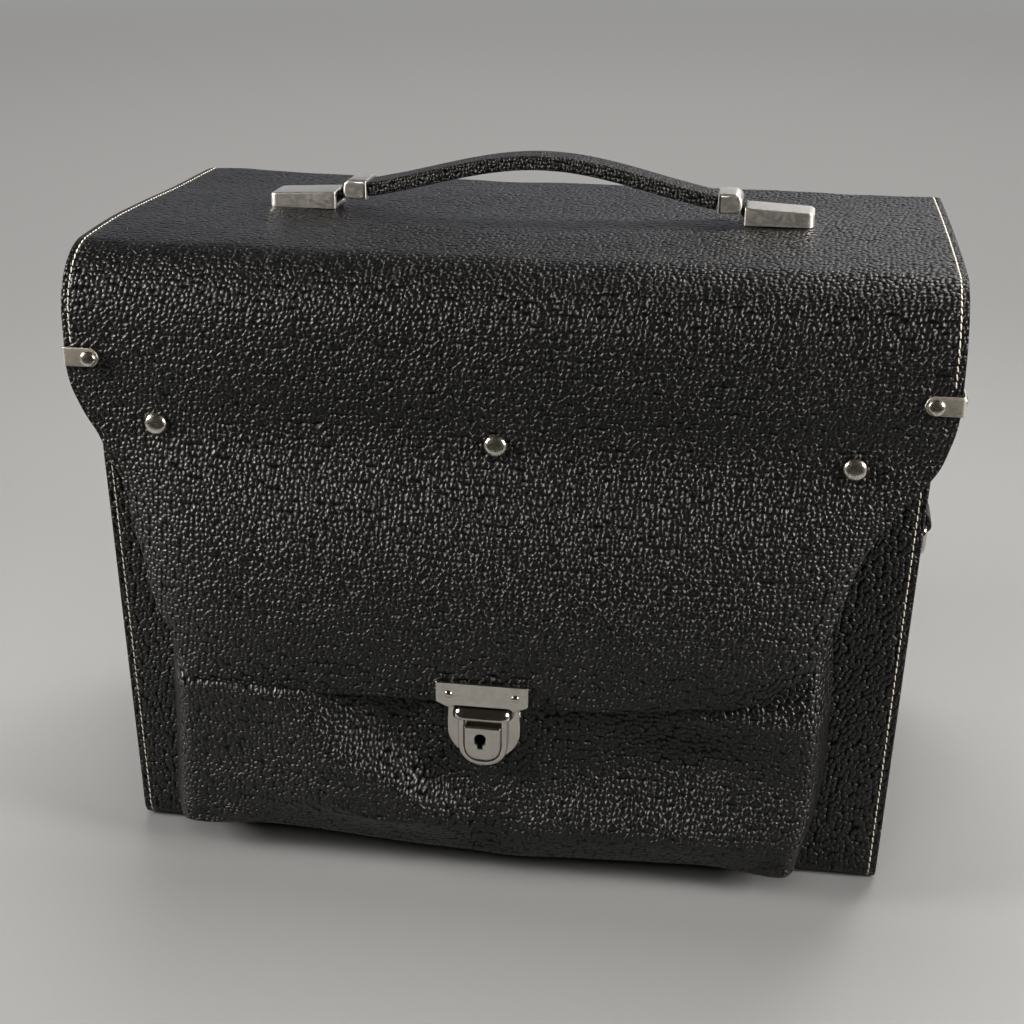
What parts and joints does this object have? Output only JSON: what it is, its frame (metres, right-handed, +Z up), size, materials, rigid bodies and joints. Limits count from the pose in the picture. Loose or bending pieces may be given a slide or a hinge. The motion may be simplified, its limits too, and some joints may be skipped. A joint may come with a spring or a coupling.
{
  "type": "leather camera case",
  "caption": "Black leather camera case, hand carried: box body, moulded front pocket, hooded lid whose flap locks over it, arched handle on the top and a strap ring on each side.",
  "frame": {"origin": "middle of the base, on the surface that the case stands on", "axes": "+X to the right as seen from the front, -Y out of the front with the lock, +Z up"},
  "size_m": [0.3732, 0.2287, 0.2942],
  "materials": {
    "leather": "black pebble grain, semi-gloss, paler on worn crests",
    "nickel": "warm polished nickel with light scratches",
    "chrome": "bright chrome with grime at its edges",
    "thread": "cream waxed thread"
  },
  "bodies": {
    "case": {"body_wrap": "leather", "side_left": "leather", "side_right": "leather", "front_pocket": "leather", "lid": "leather", "lid_wing_left": "leather", "lid_wing_right": "leather", "chape_left": "leather", "chape_right": "leather", "handle_grip": "leather", "handle_tongue_left": "leather", "handle_tongue_right": "leather", "handle_cap_left": "chrome", "handle_cap_right": "chrome", "handle_bracket_left": "chrome", "handle_bracket_right": "chrome", "corner_clip_left": "nickel", "corner_clip_right": "nickel", "clip_rivet_left": "nickel", "clip_rivet_right": "nickel", "clip_side_rivet_left": "nickel", "clip_side_rivet_right": "nickel", "flap_rivet_left": "nickel", "flap_rivet_centre": "nickel", "flap_rivet_right": "nickel", "lock_hasp": "nickel", "hasp_pin_left": "nickel", "hasp_pin_right": "nickel", "lock_base": "nickel", "lock_keyplate": "nickel"},
    "lock_slide": {"lock_slide": "nickel"},
    "ring_left": {"d_ring_left": "nickel"},
    "ring_right": {"d_ring_right": "nickel"}
  },
  "joints": [
    {"name": "lock_press", "type": "slide", "parent": "case", "child": "lock_slide", "axis": [0, 0, -1], "range_m": [0, 0.003], "stiffness_N_per_m": 800, "springref_m": -0.002},
    {"name": "ring_swing_left", "type": "hinge", "parent": "case", "child": "ring_left", "pos_m": [-0.18028, -0.0014, 0.1346], "axis": [0, 1, 0], "range_deg": [-6, 120]},
    {"name": "ring_swing_right", "type": "hinge", "parent": "case", "child": "ring_right", "pos_m": [0.18028, -0.0014, 0.1346], "axis": [0, -1, 0], "range_deg": [-6, 120]}
  ]
}
